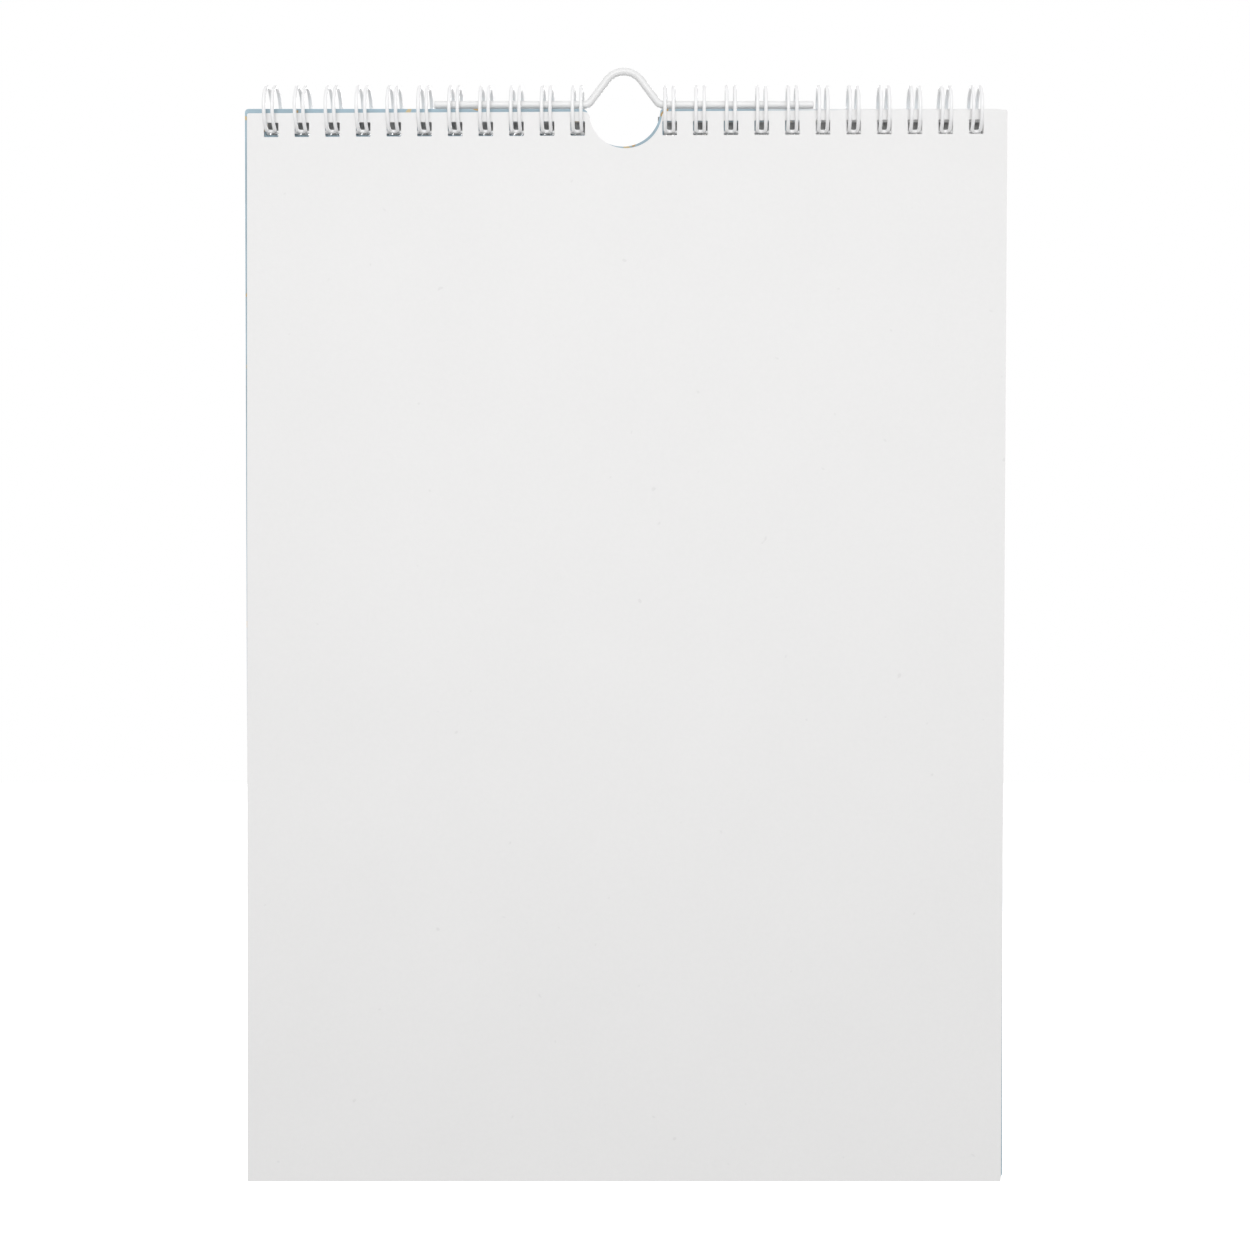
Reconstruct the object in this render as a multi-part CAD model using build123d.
from build123d import *
import math
import os

# A wall calendar bound along its top edge with two combs of twin-loop wire, lengths in
# millimetres. It hangs on a wire hanger that lies in the middle loops and bows up over
# the thumb cut. X runs along the top edge, Z points up and -Y is the side that faces
# the wall. The origin is the underside of the hanger's crown, where the nail sits.

# Leaves
leaf_width = 210.0
leaf_height = 297.0
board_thickness = 0.4
pages_thickness = 2.0
cover_thickness = 0.3
board_top_skew = 1.0
leaf_centre_offset = 0.9
pages_side_shift = -0.85
thumb_cut_radius = 10.0
thumb_cut_offset = -0.1
thumb_cut_corner = 0.8

# Punched holes
hole_size = 4.0
hole_row_offset = -0.05
hole_to_side = 7.0
board_hole_to_edge = 2.6
board_hole_play = 0.8
pages_hole_to_edge = 2.95

# Twin-loop wire
loop_pitch = 25.4 / 3
loops_left_out = 2
loop_diameter = 13.6
wire_diameter = 1.0
strand_spacing = 2.3
root_bend_radius = 1.0
closing_gap = 0.5
loop_lean = 0.45
board_depth = 1.5

# Hanger
hanger_diameter = 2.1
hanger_length = 105.0
arch_height = 9.15
arch_side_angle = 55.5
crown_radius = 5.6
foot_radius = 2.2
hanger_end_chamfer = 0.25

# Clearances
wire_clearance = 0.15
leaf_clearance = 0.15
hole_clearance = 0.1
hanger_clearance = 0.1

# Facets of the bent wire: flats round its section, steps round a loop and its bends
section_flats = 6
loop_steps = 14
tip_steps = 4
root_steps = 2

# Heights, from the nail point down
wire_radius = wire_diameter / 2
hanger_radius = hanger_diameter / 2
ring_radius = (loop_diameter - wire_diameter) / 2
arm_z = hanger_radius - arch_height
pages_top_z = arm_z - hanger_radius - hanger_clearance
pages_hole_bottom_z = pages_top_z - pages_hole_to_edge - hole_size
ring_bottom_z = pages_hole_bottom_z + hole_clearance
ring_z = ring_bottom_z + loop_diameter / 2
board_hole_bottom_z = ring_bottom_z - board_hole_play
board_top_z = board_hole_bottom_z + hole_size + board_hole_to_edge

# Depths, from the loops' axis: the wall side is negative
board_inner_y = -board_depth
root_y = board_inner_y + wire_clearance + wire_radius
pages_inner_y = root_y + wire_radius + wire_clearance
pages_outer_y = pages_inner_y + pages_thickness
cover_inner_y = pages_outer_y + leaf_clearance
cover_outer_y = cover_inner_y + cover_thickness

# Places of the loops along the top edge: as many as the leaf's width leaves room for
loops_per_comb = math.floor((leaf_width / 2 - hole_to_side) / loop_pitch + (1 - loops_left_out) / 2)
row_half_length = (2 * loops_per_comb + loops_left_out - 1) * loop_pitch / 2
first_left_loop = hole_row_offset - row_half_length
first_right_loop = first_left_loop + (loops_per_comb + loops_left_out) * loop_pitch


def loop_places(first_loop):
    """The middles of one comb's loops along X."""
    return [first_loop + i * loop_pitch for i in range(loops_per_comb)]


def leaf(outer_y, thickness, centre_x, top_z, skew, hole_bottom_z):
    """A sheet, or a block of sheets, punched and thumb cut along its top edge.

    It reaches from outer_y towards the wall. The skew is how much higher its top edge
    ends on the right than on the left.
    """
    left = centre_x - leaf_width / 2
    right = centre_x + leaf_width / 2
    bottom = top_z - leaf_height
    corners = [(left, bottom), (right, bottom), (right, top_z + skew / 2), (left, top_z - skew / 2)]
    outline = make_face(Polyline(*corners, close=True).edges())
    cut_x = centre_x + thumb_cut_offset
    outline -= Pos(cut_x, top_z) * Rot(Z=90) * Circle(thumb_cut_radius)
    cut_ends = outline.vertices().filter_by(lambda v: abs(v.X - cut_x) < 1.1 * thumb_cut_radius)
    outline = fillet(cut_ends, thumb_cut_corner)
    for x in loop_places(first_left_loop) + loop_places(first_right_loop):
        outline -= Pos(x, hole_bottom_z + hole_size / 2) * Rectangle(hole_size, hole_size)
    front = Plane((0, outer_y, 0), x_dir=(1, 0, 0), z_dir=(0, -1, 0))
    return extrude(front * outline, thickness)


def comb_path(first_loop):
    """The flat course of one comb's wire, as points (x, distance round the ring).

    Distance 0 is the root line, where wide bends join one finger to the next. Each
    finger runs up on two strands to a rounded tip, which comes back round the ring to
    the crotch between its own two root bends.
    """
    half = strand_spacing / 2
    tip_centre = 2 * math.pi * ring_radius - closing_gap - half
    rise = tip_centre - root_bend_radius
    strand = [root_bend_radius + rise * i / loop_steps for i in range(1, loop_steps)]
    places = loop_places(first_loop)
    path = [(places[0] - half, root_bend_radius)]
    for x in places:
        path += [(x - half, distance) for distance in strand]
        path += bend(x, tip_centre, half, 180, 0, tip_steps)
        path += [(x + half, distance) for distance in reversed(strand)]
        if x < places[-1]:
            bend_x = x + half + root_bend_radius
            next_bend_x = x + loop_pitch - half - root_bend_radius
            path += bend(bend_x, root_bend_radius, root_bend_radius, 180, 270, root_steps)
            path += bend(next_bend_x, root_bend_radius, root_bend_radius, -90, 0, root_steps)
    path.append((places[-1] + half, root_bend_radius))
    return path


def bend(x, distance, radius, start, end, steps):
    """Points round a bend in the flat course, from one angle to another in degrees."""
    angles = [math.radians(start + (end - start) * i / steps) for i in range(steps + 1)]
    return [(x + radius * math.cos(a), distance + radius * math.sin(a)) for a in angles]


def on_ring(x, distance):
    """A point of the flat course, rolled round the ring and leaned with its loop."""
    angle = math.asin(root_y / ring_radius) + distance / ring_radius
    y = ring_radius * math.sin(angle)
    lean = loop_lean * y / (2 * ring_radius)
    return Vector(x + lean, y, ring_z - ring_radius * math.cos(angle))


def bent_wire(points, radius):
    """A faceted wire through the points, mitred at each one."""
    runs = [(b - a).normalized() for a, b in zip(points, points[1:])]
    end_plane = Plane(points[0], z_dir=runs[0])
    turns = [math.radians(360 * (i + 0.5) / section_flats) for i in range(section_flats)]
    corner_radius = radius / math.cos(math.pi / section_flats)
    ring = [end_plane.from_local_coords((corner_radius * math.cos(t), corner_radius * math.sin(t), 0)) for t in turns]
    faces = [Face(Wire.make_polygon(ring))]
    for i, run in enumerate(runs):
        corner = points[i + 1]
        normal = run + runs[i + 1] if i + 1 < len(runs) else run
        next_ring = [p + run * ((corner - p).dot(normal) / run.dot(normal)) for p in ring]
        for j in range(section_flats):
            k = (j + 1) % section_flats
            faces.append(Face(Wire.make_polygon([ring[j], ring[k], next_ring[k], next_ring[j]])))
        ring = next_ring
    faces.append(Face(Wire.make_polygon(ring)))
    return Solid(Shell(faces))


def comb(first_loop):
    """One comb of twin-loop wire, closed round the leaves."""
    points = [on_ring(x, distance) for x, distance in comb_path(first_loop)]
    return bent_wire(points, wire_radius)


def hanger():
    """The round wire hanger: two straight arms and a bow that the nail goes under."""
    slope = math.radians(arch_side_angle)
    apex = arch_height + crown_radius * (1 / math.cos(slope) - 1)
    foot = apex / math.tan(slope)
    end = hanger_length / 2
    corners = [(-end, 0, arm_z), (-foot, 0, arm_z), (0, 0, arm_z + apex), (foot, 0, arm_z), (end, 0, arm_z)]
    path = FilletPolyline(*corners, radius=[foot_radius, crown_radius, foot_radius])
    section = Plane(corners[0], z_dir=(1, 0, 0)) * Circle(hanger_radius)
    bar = sweep(section, path)
    ends = bar.faces().filter_by(lambda f: abs(abs(f.center().X) - end) < 0.01).edges()
    return chamfer(ends, hanger_end_chamfer)


os.makedirs("parts", exist_ok=True)
pages_centre = leaf_centre_offset + pages_side_shift
board = leaf(board_inner_y, board_thickness, leaf_centre_offset, board_top_z, board_top_skew, board_hole_bottom_z)
pages = leaf(pages_outer_y, pages_thickness, pages_centre, pages_top_z, 0, pages_hole_bottom_z)
cover = leaf(cover_outer_y, cover_thickness, pages_centre, pages_top_z, 0, pages_hole_bottom_z)
export_step(board, "parts/back_board.step")
export_step(pages, "parts/page_block.step")
export_step(cover, "parts/front_cover.step")
export_step(comb(first_left_loop), "parts/wire_left.step")
export_step(comb(first_right_loop), "parts/wire_right.step")
export_step(hanger(), "parts/hanger.step")
